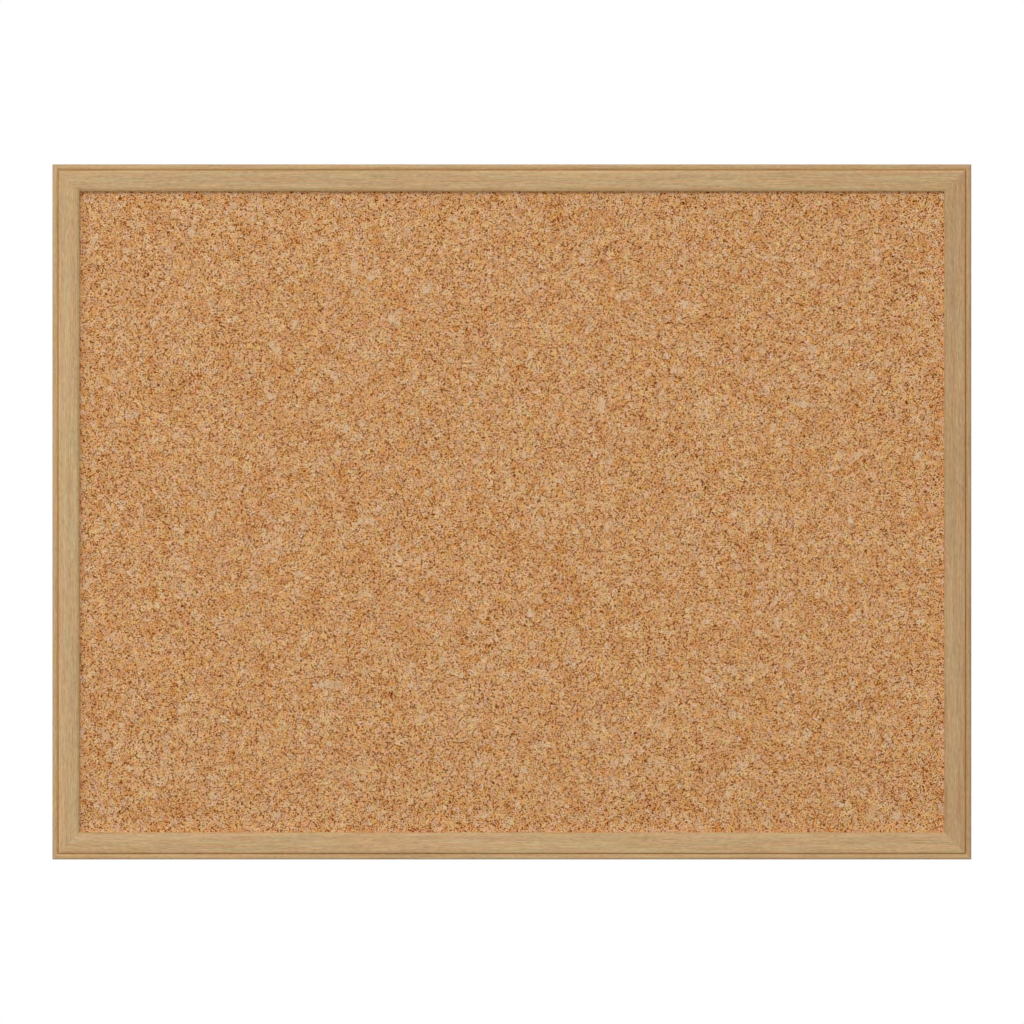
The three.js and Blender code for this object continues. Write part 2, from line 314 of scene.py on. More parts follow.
def thicken(bm, depth):
    """Closes the outline in bm as a face and gives it that depth along Y."""
    face = bmesh.ops.contextual_create(bm, geom=bm.edges[:])["faces"]
    lifted = bmesh.ops.extrude_face_region(bm, geom=face)["geom"]
    bmesh.ops.translate(bm, vec=(0, depth, 0), verts=only(bmesh.types.BMVert, lifted))
    bmesh.ops.recalc_face_normals(bm, faces=bm.faces)


def draw_out(bm, edges, way):
    """Draws an open rim out along a straight line, and gives the new rim."""
    made = bmesh.ops.extrude_edge_only(bm, edges=edges)["geom"]
    verts = only(bmesh.types.BMVert, made)
    bmesh.ops.translate(bm, vec=way, verts=verts)
    fresh = set(verts)
    return [edge for edge in only(bmesh.types.BMEdge, made) if fresh.issuperset(edge.verts)]


def bend(bm, edges, centre, axis, angle, steps):
    """Draws an open rim round a bend, and gives the new rim."""
    made = bmesh.ops.spin(
        bm, geom=edges, cent=centre, axis=axis, angle=angle, steps=steps, use_duplicate=False,
    )["geom_last"]
    return only(bmesh.types.BMEdge, made)


def turn(bm, axis_point):
    """Turns the profile in bm fully about a line along Y, and closes it."""
    bmesh.ops.spin(
        bm,
        geom=bm.verts[:] + bm.edges[:],
        cent=axis_point,
        axis=(0, 1, 0),
        angle=FULL_TURN,
        steps=TURN_STEPS,
        use_merge=True,
        use_duplicate=False,
    )
    bmesh.ops.remove_doubles(bm, verts=bm.verts, dist=WELD)
    bmesh.ops.recalc_face_normals(bm, faces=bm.faces)


def soften(bm, width, angle=35.0, segments=2):
    """Rounds off the edges that are sharper than the angle."""
    sharp = [
        edge for edge in bm.edges
        if edge.is_manifold and edge.calc_face_angle(0) > math.radians(angle)
    ]
    bmesh.ops.bevel(
        bm, geom=sharp, offset=width, segments=segments, profile=0.5, affect="EDGES", material=-1,
        clamp_overlap=True,
    )
    bm.normal_update()


# Finishes: each pattern is worked out in millimetres on the object's own coordinates


class Finish:
    """A material with the small set of pattern nodes that this board's finishes need."""

    def __init__(self, name, roughness, metallic=0.0):
        self.material = bpy.data.materials.new(name)
        self.material.use_nodes = True
        self.nodes = self.material.node_tree.nodes
        self.links = self.material.node_tree.links
        self.shader = self.nodes["Principled BSDF"]
        self.shader.inputs["Roughness"].default_value = roughness
        self.shader.inputs["Metallic"].default_value = metallic
        coordinates = self.nodes.new("ShaderNodeTexCoord")
        self.place = self.mapped(coordinates.outputs["Object"], scale=(1 / MM,) * 3)

    def put(self, socket, value):
        """Links an output to a socket, or sets the socket to a plain value."""
        if isinstance(value, bpy.types.NodeSocket):
            self.links.new(value, socket)
        else:
            socket.default_value = value

    def mapped(self, vector, scale=(1, 1, 1), offset=(0, 0, 0)):
        node = self.nodes.new("ShaderNodeMapping")
        self.put(node.inputs["Vector"], vector)
        node.inputs["Scale"].default_value = scale
        node.inputs["Location"].default_value = offset
        return node.outputs["Vector"]

    def noise(self, vector, scale, detail=2.0, roughness=0.5, output="Fac"):
        node = self.nodes.new("ShaderNodeTexNoise")
        self.put(node.inputs["Vector"], vector)
        node.inputs["Scale"].default_value = scale
        node.inputs["Detail"].default_value = detail
        node.inputs["Roughness"].default_value = roughness
        return node.outputs[output]

    def cells(self, vector, size, output="Color", feature="F1"):
        """Irregular cells about size millimetres across."""
        node = self.nodes.new("ShaderNodeTexVoronoi")
        node.feature = feature
        self.put(node.inputs["Vector"], vector)
        node.inputs["Scale"].default_value = 1 / size
        return node.outputs[output]

    def warped(self, vector, size, amount):
        """The same coordinates pushed about, so that what is drawn on them has uneven edges."""
        push = self.noise(vector, 1 / size, detail=1.0, output="Color")
        centred = self.vector("SUBTRACT", push, (0.5, 0.5, 0.5))
        return self.vector("ADD", vector, self.vector("MULTIPLY", centred, (amount,) * 3))

    def vector(self, operation, first, second):
        node = self.nodes.new("ShaderNodeVectorMath")
        node.operation = operation
        self.put(node.inputs[0], first)
        self.put(node.inputs[1], second)
        return node.outputs["Vector"]

    def reckon(self, operation, first, second):
        node = self.nodes.new("ShaderNodeMath")
        node.operation = operation
        self.put(node.inputs[0], first)
        self.put(node.inputs[1], second)
        return node.outputs["Value"]

    def plus(self, first, second):
        return self.reckon("ADD", first, second)

    def minus(self, first, second):
        return self.reckon("SUBTRACT", first, second)

    def times(self, first, second):
        return self.reckon("MULTIPLY", first, second)

    def channels(self, color):
        node = self.nodes.new("ShaderNodeSeparateColor")
        self.put(node.inputs["Color"], color)
        return node.outputs["Red"], node.outputs["Green"], node.outputs["Blue"]

    def spread(self, value, low, high, to_low=0.0, to_high=1.0):
        """Carries the stretch from low to high over to another stretch, held at its ends."""
        node = self.nodes.new("ShaderNodeMapRange")
        self.put(node.inputs["Value"], value)
        node.inputs["From Min"].default_value = low
        node.inputs["From Max"].default_value = high
        node.inputs["To Min"].default_value = to_low
        node.inputs["To Max"].default_value = to_high
        return node.outputs["Result"]

    def ramp(self, value, stops):
        """Colours along a value, as (place, colour) pairs."""
        node = self.nodes.new("ShaderNodeValToRGB")
        self.put(node.inputs["Fac"], value)
        elements = node.color_ramp.elements
        while len(elements) < len(stops):
            elements.new(0.5)
        for element, (place, color) in zip(elements, stops):
            element.position = place
            element.color = color
        return node.outputs["Color"]

    def blend(self, mode, share, under, over):
        node = self.nodes.new("ShaderNodeMix")
        node.data_type = "RGBA"
        node.blend_type = mode
        self.put(node.inputs["Factor"], share)
        colors = [socket for socket in node.inputs if socket.type == "RGBA"]
        self.put(colors[0], under)
        self.put(colors[1], over)
        return next(socket for socket in node.outputs if socket.type == "RGBA")

    def relief(self, height, depth, strength=1.0):
        """Fine relief of that depth in metres, from a height between 0 and 1."""
        node = self.nodes.new("ShaderNodeBump")
        node.inputs["Strength"].default_value = strength
        node.inputs["Distance"].default_value = depth
        self.put(node.inputs["Height"], height)
        self.links.new(node.outputs["Normal"], self.shader.inputs["Normal"])

    def color(self, value):
        self.put(self.shader.inputs["Base Color"], value)
        return self.material


def oak(name, along, shade, contrast, seed, outer_edge, inward):
    """Satin oak with its grain along X or Z, a darker band in the groove beside the bead that is partly stain
    and partly painted shade, and a painted highlight on the shoulder inside it.
    """
    finish = Finish(name, roughness=0.62)
    finish.shader.inputs["Specular IOR Level"].default_value = 0.35
    long_way = {"X": (1, 0, 0), "Z": (0, 0, 1)}[along]
    offset = (seed * 37.0, seed * 11.0, seed * 23.0)

    def stretched(length, width):
        scale = [share / length + (1 - share) / width for share in long_way]
        return finish.mapped(finish.place, scale=scale, offset=offset)

    bands = finish.noise(stretched(150.0, 3.2), 1.0, detail=1.0)
    streaks = finish.noise(stretched(24.0, 0.42), 1.0, detail=1.0)
    flecks = finish.noise(stretched(3.4, 0.4), 1.0, detail=1.0)
    depth = finish.times(bands, 0.2)
    depth = finish.plus(depth, finish.times(streaks, 0.4))
    depth = finish.plus(depth, finish.times(flecks, 0.4))
    dark = tone(*(value - contrast for value in shade))
    light = tone(*(value + contrast for value in shade))
    wood = finish.ramp(depth, [(0.34, dark), (0.66, light)])
    yellow = finish.ramp(finish.noise(stretched(20.0, 0.9), 1.0, detail=1.0), [
        (0.34, tone(255, 253, 236)),
        (0.66, tone(250, 251, 255)),
    ])
    wood = finish.blend("MULTIPLY", 1.0, wood, yellow)
    drift = finish.noise(stretched(34.0, 1.6), 1.0, detail=1.0)
    hue = finish.ramp(drift, [(0.36, tone(255, 244, 241)), (0.64, tone(247, 255, 249))])
    wood = finish.blend("MULTIPLY", 0.9, wood, hue)
    across = finish.channels(finish.mapped(
        finish.place, scale=(inward,) * 3, offset=(-inward * outer_edge / MM,) * 3,
    ))[2 if along == "X" else 0]
    share = finish.reckon("DIVIDE", across, FACE_WIDTH / MM)
    # Colour across the face, from the outer edge in: darker in the groove beside the bead, partly stain and
    # partly painted shade of the groove, and slightly darker at the sight edge.
    stain_groove_shade_and_highlight = finish.ramp(share, [
        (0.05, tone(243, 243, 243)),
        (0.17, tone(240, 235, 227)),
        (0.2, tone(233, 220, 196)),
        (0.228, tone(233, 220, 196)),
        # From here, a lighter band on the shoulder just inside the groove: a painted highlight.
        (0.234, tone(255, 255, 255)),
        (0.27, tone(251, 251, 251)),
        (0.36, tone(243, 243, 243)),
        (0.86, tone(243, 243, 243)),
        (1.0, tone(238, 231, 220)),
    ])
    wood = finish.blend("MULTIPLY", 1.0, wood, stain_groove_shade_and_highlight)
    pores = finish.spread(finish.noise(stretched(5.0, 0.3), 1.0, detail=0.0), 0.72, 0.8)
    wood = finish.blend("MULTIPLY", finish.times(pores, 0.3), wood, tone(120, 92, 66))
    height = finish.minus(finish.times(flecks, 0.5), pores)
    finish.relief(height, 0.02 * MM, strength=0.5)
    return finish.color(wood)


def raw_wood(name, along, seed, outer_edge, inward):
    """The unfinished back of the moulding: paler, dry and planed, with the same grain and the same bands
    across it, the painted groove shade and shoulder highlight among them.
    """
    material = oak(name, along, RAW_SHADE, RAW_CONTRAST, seed, outer_edge, inward)
    material.node_tree.nodes["Principled BSDF"].inputs["Roughness"].default_value = 0.8
    return material


def cork_finish():
    """Fine agglomerated cork: chips from rust to pale, made of crumbs, with dark dashes and bark specks."""
    chip_size, crumb_size = 4.4, 0.8
    finish = Finish("cork_granules", roughness=0.85)
    finish.shader.inputs["Specular IOR Level"].default_value = 0.05
    chipped = finish.warped(finish.place, 1.6, 3.0)
    crumbled = finish.warped(finish.place, 0.7, 0.8)
    age, tint, kind = finish.channels(finish.cells(chipped, chip_size))
    crumb_tint, bark = finish.channels(finish.cells(crumbled, crumb_size))[:2]
    chip_edge = finish.cells(chipped, chip_size, output="Distance", feature="DISTANCE_TO_EDGE")
    crumb_edge = finish.cells(crumbled, crumb_size, output="Distance", feature="DISTANCE_TO_EDGE")
    broken = finish.noise(finish.place, 1 / 0.95, detail=1.0)
    grain = finish.noise(finish.place, 1 / 0.38, detail=1.0)
    lively = finish.noise(finish.mapped(finish.place, offset=(60.0, 10.0, 50.0)), 1 / 5.0, detail=1.0)

    # Level: how light the cork is at a place, before its tones
    gap = finish.spread(chip_edge, 0.02, 0.15, 1.0, 0.0)
    dash = finish.times(gap, finish.spread(broken, 0.52, 0.62))
    seam = finish.spread(crumb_edge, 0.03, 0.15, 1.0, 0.0)
    seam = finish.times(seam, finish.spread(broken, 0.56, 0.64))
    crumbs = finish.spread(grain, 0.2, 0.8, -0.54, 0.54)
    crumbs = finish.plus(crumbs, finish.spread(crumb_tint, 0, 1, -0.08, 0.08))
    crumbs = finish.minus(crumbs, finish.times(seam, 1.2))
    level = finish.plus(0.62, finish.times(crumbs, finish.spread(lively, 0.3, 0.7, 0.6, 1.35)))
    level = finish.plus(level, finish.spread(tint, 0, 1, -0.055, 0.055))
    level = finish.minus(level, finish.times(dash, 0.55))
    level = finish.minus(level, finish.times(finish.spread(bark, 0.965, 0.975), 0.6))

    # Tones: from rust to pale, from pink to grey and from golden to fair, each in drifts of chips
    rust = finish.ramp(level, [
        (0.06, tone(100, 32, 0)),
        (0.27, tone(152, 79, 12)),
        (0.46, tone(197, 133, 72)),
        (0.66, tone(219, 166, 116)),
        (0.90, tone(236, 197, 157)),
    ])
    pale = finish.ramp(level, [
        (0.06, tone(106, 38, 0)),
        (0.27, tone(162, 94, 26)),
        (0.46, tone(207, 152, 97)),
        (0.66, tone(230, 188, 146)),
        (0.90, tone(246, 220, 189)),
    ])

    def drift(chips, size, offset):
        cloud = finish.noise(finish.mapped(finish.place, offset=offset), 1 / size, detail=1.0)
        cloud = finish.spread(cloud, 0.25, 0.75, 0.05, 0.61)
        return finish.spread(finish.plus(finish.times(chips, 0.32), cloud), 0.2, 0.8)

    broad = finish.spread(finish.noise(finish.place, 1 / 18.0, detail=0.0), 0.25, 0.75, -0.16, 0.16)
    cork = finish.blend("MIX", finish.plus(drift(age, 6.0, (0.0, 0.0, 0.0)), broad), rust, pale)
    pink_to_grey = finish.ramp(drift(tint, 5.0, (90.0, 40.0, 70.0)), [
        (0.0, tone(262, 251, 245)),
        (1.0, tone(248, 259, 265)),
    ])
    cork = finish.blend("MULTIPLY", 1.0, cork, pink_to_grey)
    gold_to_fair = finish.ramp(drift(kind, 5.0, (30.0, 80.0, 20.0)), [
        (0.0, tone(256, 256, 231)),
        (1.0, tone(254, 254, 275)),
    ])
    cork = finish.blend("MULTIPLY", 1.0, cork, gold_to_fair)
    halo = finish.spread(crumb_edge, 0.05, 0.4, 1.0, 0.0)
    halo = finish.times(halo, finish.spread(broken, 0.48, 0.62))
    cork = finish.blend("MULTIPLY", finish.reckon("MAXIMUM", halo, gap), cork, tone(255, 246, 210))
    bleached = finish.spread(kind, 0.95, 0.98, 0.0, 0.4)
    cork = finish.blend("MIX", bleached, cork, tone(222, 194, 156))
    height = finish.plus(finish.times(level, 0.6), finish.times(tint, 0.2))
    finish.relief(height, 0.05 * MM, strength=0.3)
    return finish.color(cork)


def softboard_finish():
    """Pressed wood fibre: brown, matted and soft."""
    finish = Finish("softboard_fibres", roughness=0.95)
    fibres = finish.noise(finish.place, 1 / 0.6, detail=3.0, roughness=0.7)
    board = finish.ramp(fibres, [(0.3, tone(128, 100, 66)), (0.7, tone(176, 148, 106))])
    finish.relief(fibres, 0.2 * MM, strength=0.5)
    return finish.color(board)


def grey_board_finish():
    """Recycled grey board: a mottled ground with short fibres and a few dark flecks."""
    finish = Finish("grey_board_fibres", roughness=0.9)
    cloud = finish.noise(finish.place, 1 / 14.0, detail=3.0)
    felt = finish.noise(finish.mapped(finish.place, scale=(1, 1, 0.3)), 1 / 0.7, detail=3.0, roughness=0.65)
    level = finish.plus(finish.times(cloud, 0.25), finish.times(felt, 0.75))
    board = finish.ramp(level, [(0.32, tone(152, 145, 133)), (0.68, tone(180, 174, 162))])
    fleck_kind = finish.channels(finish.cells(finish.warped(finish.place, 0.8, 1.2), 1.6))[0]
    fleck = finish.spread(fleck_kind, 0.975, 0.99, 0.0, 0.4)
    board = finish.blend("MIX", fleck, board, tone(92, 86, 78))
    finish.relief(felt, 0.05 * MM, strength=0.4)
    return finish.color(board)


def plated_steel_finish():
    """Bright zinc plating on rolled sheet, with a faint yellow and blue cast and fine rolling marks."""
    finish = Finish("zinc_plating", roughness=0.34, metallic=1.0)
    cloud = finish.noise(finish.place, 1 / 2.4, detail=2.0)
    rolled = finish.noise(finish.mapped(finish.place, scale=(6.0, 6.0, 0.4)), 1.0, detail=2.0)
    plating = finish.ramp(cloud, [(0.35, tone(172, 176, 178)), (0.65, tone(198, 195, 186))])
    finish.put(finish.shader.inputs["Roughness"], finish.spread(rolled, 0.3, 0.7, 0.26, 0.42))
    finish.relief(rolled, 0.01 * MM, strength=0.4)
    return finish.color(plating)


def wire_finish():
    """Drawn and nickelled wire, smooth with a few faint rubbed places."""
    finish = Finish("nickelled_wire", roughness=0.2, metallic=1.0)
    rubbed = finish.noise(finish.place, 1 / 1.5, detail=3.0)
    wire = finish.ramp(rubbed, [(0.35, tone(190, 189, 185)), (0.65, tone(212, 210, 205))])
    finish.put(finish.shader.inputs["Roughness"], finish.spread(rubbed, 0.35, 0.7, 0.16, 0.3))
    return finish.color(wire)


def rubber_finish():
    """Off-white rubber with a fine moulded texture and a little dust."""
    finish = Finish("moulded_rubber", roughness=0.72)
    dust = finish.noise(finish.place, 1 / 1.8, detail=3.0)
    rubber = finish.ramp(dust, [(0.35, tone(216, 213, 206)), (0.7, tone(232, 230, 225))])
    finish.relief(finish.noise(finish.place, 1 / 0.25, detail=1.0), 0.01 * MM, strength=0.5)
    return finish.color(rubber)


# Moulding


def add_line(bm, start, level, inset):
    """A straight edge of the section, from start to a level behind the front and an inset from the edge."""
    end = bm.verts.new((start.co.x, -level, inset))
    bm.edges.new((start, end))
    return end


def add_arc(bm, start, level, inset, angle, deepen=1.0):
    """An arc of the section about that centre, flattened in depth where it is part of an ellipse."""
    centre = Vector((start.co.x, -level, inset))
    fresh = swing(bm, start, centre, (1, 0, 0), angle, ARC_STEPS)
    bmesh.ops.scale(bm, vec=(1, deepen, 1), space=Matrix.Translation(-centre), verts=fresh)
    return fresh[-1]


def moulding_section(bm):
    """The section's outline as one face: Y is the level behind zero and Z the inset from the outer edge."""
    bead_middle = MOULDING_DEPTH - BEAD_DROP - BEAD_HEIGHT
    groove = MOULDING_DEPTH - BEAD_DROP - GROOVE_DEPTH
    groove_angle = math.asin((groove - bead_middle) / BEAD_HEIGHT)
    riser = BEAD_HALF_WIDTH * (1 + math.cos(groove_angle)) + GROOVE_WIDTH
    first = bm.verts.new((0, 0, BACK_CHAMFER))
    at = add_line(bm, first, BACK_CHAMFER, 0)
    at = add_line(bm, at, bead_middle, 0)
    crown = BEAD_HEIGHT / BEAD_HALF_WIDTH
    at = add_arc(bm, at, bead_middle, BEAD_HALF_WIDTH, groove_angle - HALF_TURN, deepen=crown)
    at = add_line(bm, at, groove, riser)
    at = add_line(bm, at, MOULDING_DEPTH - SHOULDER_DROP, riser)
    shoulder = riser + SHOULDER_WIDTH
    slope = SHOULDER_DROP / SHOULDER_WIDTH
    at = add_arc(bm, at, MOULDING_DEPTH - SHOULDER_DROP, shoulder, -QUARTER, deepen=slope)
    sight = FACE_WIDTH - SIGHT_WIDTH
    sight_angle = math.asin(SIGHT_WIDTH / SIGHT_RADIUS)
    at = add_line(bm, at, MOULDING_DEPTH, sight)
    at = add_arc(bm, at, MOULDING_DEPTH - SIGHT_RADIUS, sight, -sight_angle)
    at = add_line(bm, at, SHELF, FACE_WIDTH)
    at = add_line(bm, at, SHELF, LAND)
    at = add_line(bm, at, 0, LAND)
    bm.edges.new((at, first))
    return bmesh.ops.contextual_create(bm, geom=bm.edges[:])["faces"]


def in_rebate(point):
    """True for a point of the section in the rebate, which the panel covers."""
    return point.z > LAND - TOLERANCE and -point.y < SHELF + TOLERANCE


def unroll_moulding(bm, outline, length):
    """Lays the length out as strips one above the other, and its sawn ends in the band above them."""
    marks = []
    run = 0.0
    for here, after in zip(outline, outline[1:] + outline[:1]):
        marks.append(run)
        hidden = in_rebate(here) and in_rebate(after)
        run += (after - here).length * (HIDDEN_SHARE if hidden else 1.0)
    flat_outline = [Vector((point.y, point.z)) for point in outline]

    def mark_of(point):
        place = Vector((point.y, point.z))
        nearest = min(range(len(marks)), key=lambda number: (flat_outline[number] - place).length)
        return marks[nearest]

    layer = bm.loops.layers.uv.new(LAYOUT)
    for face in bm.faces:
        middle = face.calc_center_median()
        strip = min(STRIPS - 1, int((middle.x / length + 0.5) * STRIPS))
        at_end = abs(face.normal.x) > 0.5
        turns = [mark_of(loop.vert.co) for loop in face.loops]
        wraps = max(turns) - min(turns) > run / 2
        for loop, mark in zip(face.loops, turns):
            point = loop.vert.co
            if at_end:
                across = (LEFT_END if middle.x < 0 else RIGHT_END) + point.z / FACE_WIDTH * END_WIDTH
                up = BAND_LOW - point.y / MOULDING_DEPTH * BAND_HEIGHT
            else:
                if wraps and mark == 0:
                    mark = run
                across = MARGIN + (1 - 2 * MARGIN) * ((point.x / length + 0.5) * STRIPS - strip)
                up = strip * STRIP_HEIGHT + MARGIN + (STRIP_HEIGHT - 2 * MARGIN) * mark / run
            loop[layer].uv = (across, up)


def moulding_length(length):
    """A length of moulding with both ends sawn to the mitre, along X with its outer edge at zero."""
    bm = bmesh.new()
    section = moulding_section(bm)
    outline = [vert.co.copy() for vert in bm.verts]
    swept = bmesh.ops.extrude_face_region(bm, geom=section)["geom"]
    bmesh.ops.translate(bm, vec=(length, 0, 0), verts=only(bmesh.types.BMVert, swept))
    bmesh.ops.translate(bm, vec=(-length / 2, 0, 0), verts=bm.verts)
    bmesh.ops.recalc_face_normals(bm, faces=bm.faces)
    for end in (-1, 1):
        sawn = bmesh.ops.bisect_plane(
            bm,
            geom=bm.verts[:] + bm.edges[:] + bm.faces[:],
            plane_co=(end * (length / 2 - MITRE_GAP), 0, 0),
            plane_no=(end, 0, 1),
            clear_outer=True,
        )["geom_cut"]
        bmesh.ops.contextual_create(bm, geom=only(bmesh.types.BMEdge, sawn))
    for number in range(1, STRIPS):
        bmesh.ops.bisect_plane(
            bm,
            geom=bm.verts[:] + bm.edges[:] + bm.faces[:],
            plane_co=(length * (number / STRIPS - 0.5), 0, 0),
            plane_no=(1, 0, 0),
        )
    bmesh.ops.recalc_face_normals(bm, faces=bm.faces)
    bm.normal_update()
    unroll_moulding(bm, outline, length)
    return bm


def nail_legs(name, grow=0.0):
    """The two legs of a V-nail, as the lowest and highest corners of each."""
    low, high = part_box(name)
    at_left = high.x < MIDDLE.x
    at_bottom = high.z < MIDDLE.z
    apex_x = (high.x - NAIL_THICKNESS, high.x) if at_left else (low.x, low.x + NAIL_THICKNESS)
    apex_z = (high.z - NAIL_THICKNESS, high.z) if at_bottom else (low.z, low.z + NAIL_THICKNESS)
    upright = (Vector((apex_x[0], low.y, low.z)), Vector((apex_x[1], high.y, high.z)))
    across = (Vector((low.x, low.y, apex_z[0])), Vector((high.x, high.y, apex_z[1])))
    room = Vector((grow, grow, grow))
    return [(lowest - room, highest + room) for lowest, highest in (upright, across)]


def slots():
    """Room for the V-nails, the framer's points and the screws, each a little larger than its own shape."""
    bm = bmesh.new()
    layer = bm.loops.layers.uv.new(LAYOUT)
    for name in sorted(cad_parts):
        if name.startswith("v_nail"):
            for lowest, highest in nail_legs(name, CLEARANCE):
                block(bm, lowest, Vector((highest.x, BACK + OVERRUN, highest.z)))
        if name.startswith("framers_point"):
            low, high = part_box(name)
            room = Vector((CLEARANCE, CLEARANCE, CLEARANCE))
            block(bm, low - room, high + room)
        if name.endswith("_screw"):
            low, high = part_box(name)
            middle = (low + high) / 2
            start = Vector((middle.x, low.y - CLEARANCE, middle.z))
            end = Vector((middle.x, BACK + OVERRUN, middle.z))
            rod(bm, start, end, SCREW_DIAMETER / 2 + CLEARANCE)
    for face in bm.faces:
        for number, loop in enumerate(face.loops):
            across, up = ((0, 0), (1, 0), (1, 1), (0, 1))[number % 4]
            loop[layer].uv = (SLOT_LEFT + SLOT_WIDTH * across, BAND_LOW + BAND_HEIGHT * up)
    return bm


def all_mouldings():
    """The four lengths, each turned to its side of the board, and cut for what is driven into it."""
    half_width, half_height = WIDTH / 2, HEIGHT / 2
    bottom, top = MIDDLE.z - half_height, MIDDLE.z + half_height
    lengths = {
        "bottom_rail": (WIDTH, "X", (0, BACK, bottom), 0, (bottom, 1)),
        "top_rail": (WIDTH, "X", (0, BACK, top), HALF_TURN, (top, -1)),
        "left_stile": (HEIGHT, "Z", (-half_width, BACK, MIDDLE.z), QUARTER, (-half_width, 1)),
        "right_stile": (HEIGHT, "Z", (half_width, BACK, MIDDLE.z), -QUARTER, (half_width, -1)),
    }
    for seed, (name, (length, along, edge, angle, across)) in enumerate(lengths.items(), start=1):
        bm = moulding_length(length)
        place = Matrix.Translation(edge) @ Matrix.Rotation(angle, 4, "Y")
        bm.transform(place)
        bm = cut(bm, slots())
        bmesh.ops.recalc_face_normals(bm, faces=bm.faces)
        back_to_section = place.inverted()
        for face in bm.faces:
            middle = back_to_section @ face.calc_center_median()
            face.material_index = int(in_rebate(middle) or -middle.y < BACK_CHAMFER / 4)
        stained = oak(f"oak_{name}", along, OAK_SHADES[name], OAK_CONTRAST, seed, *across)
        raw = raw_wood(f"raw_{name}", along, seed, *across)
        finish_piece(bm, f"{name}_moulding", [stained, raw], "board", name, smooth=28)


# Panel: cork face, softboard core and grey backing


def sheet(node, step, front_relief, name, finish):
    """A sheet between its node's corners whose front is worked in relief, and laid out front first."""
    low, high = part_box(node)
    size = high - low
    middle = (low + high) / 2
    bm = bmesh.new()
    bmesh.ops.create_grid(
        bm,
        x_segments=max(1, round(size.x / step)),
        y_segments=max(1, round(size.z / step)),
        size=0.5,
        matrix=Matrix.Rotation(QUARTER, 4, "X"),
    )
    bmesh.ops.scale(bm, vec=(size.x, 1, size.z), verts=bm.verts)
    bmesh.ops.translate(bm, vec=(middle.x, low.y, middle.z), verts=bm.verts)
    for vert in bm.verts:
        if not vert.is_boundary:
            vert.co.y += front_relief(vert.co)
    rim = [edge for edge in bm.edges if edge.is_boundary]
    rim = draw_out(bm, rim, (0, size.y, 0))
    bmesh.ops.contextual_create(bm, geom=rim)
    bmesh.ops.recalc_face_normals(bm, faces=bm.faces)
    bm.normal_update()
    layer = bm.loops.layers.uv.new(LAYOUT)
    for face in bm.faces:
        for loop in face.loops:
            across = (loop.vert.co.x - low.x) / size.x
            up = (loop.vert.co.z - low.z) / size.z
            if face.normal.y < -0.5:
                level = FRONT_LOW + FRONT_HEIGHT * up
            elif face.normal.y > 0.5:
                level = REAR_LOW + THIN_BAND * up
            else:
                level = RIM_LOW + THIN_BAND * (loop.vert.co.y - low.y) / size.y
                across = across if abs(face.normal.z) > 0.5 else up
            loop[layer].uv = (MARGIN + (1 - 2 * MARGIN) * across, level)
    return finish_piece(bm, name, [finish], "board", node, smooth=50)


def cork_relief(point):
    """How far the cork lies behind its highest granules: a slow roll, and pits where crumbs came away."""
    rolling = noise.noise(point / CORK_ROLL) + 1
    pitted = max(0.0, noise.noise(point / CORK_PITS) - CORK_PIT_LEVEL)
    return CORK_ROLL_DEPTH * rolling + CORK_PIT_DEPTH * pitted + CORK_ROUGHNESS * random.random()


def board_relief(point):
    """The slight waviness of pressed board."""
    return CORE_WAVE_DEPTH * (noise.noise(point / CORE_WAVE) + 1)


def backing_board(finish):
    """The grey board that closes the back, its edges crushed a little by the knife."""
    low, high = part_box("backing_sheet")
    bm = bmesh.new()
    block(bm, low, high)
    bmesh.ops.bevel(
        bm, geom=bm.edges[:], offset=BACKING_EDGE, segments=3, profile=0.5, affect="EDGES", material=-1,
    )
    finish_piece(bm, "backing_board", [finish], "board", "backing_sheet", smooth=50)


# Fasteners in the wood


def v_nail(corner, finish):
    """An angle strip pressed across the mitre, with its cutting edge towards the front."""
    name = f"v_nail_{corner}"
    (low, high), (across_low, across_high) = nail_legs(name)
    at_left = high.x < MIDDLE.x
    at_bottom = high.z < MIDDLE.z
    apex = (high.x if at_left else low.x, across_high.z if at_bottom else across_low.z)
    inner = (low.x if at_left else high.x, across_low.z if at_bottom else across_high.z)
    far = (across_low.x if at_left else across_high.x, low.z if at_bottom else high.z)
    bm = bmesh.new()
    verts = chain(bm, [
        (apex[0], low.y, apex[1]), (far[0], low.y, apex[1]), (far[0], low.y, inner[1]),
        (inner[0], low.y, inner[1]), (inner[0], low.y, far[1]), (apex[0], low.y, far[1]),
    ])
    bm.edges.new((verts[-1], verts[0]))
    thicken(bm, high.y - low.y)
    soften(bm, SHEARED_EDGE)
    finish_piece(bm, f"{name}_strip", [finish], "board", name)


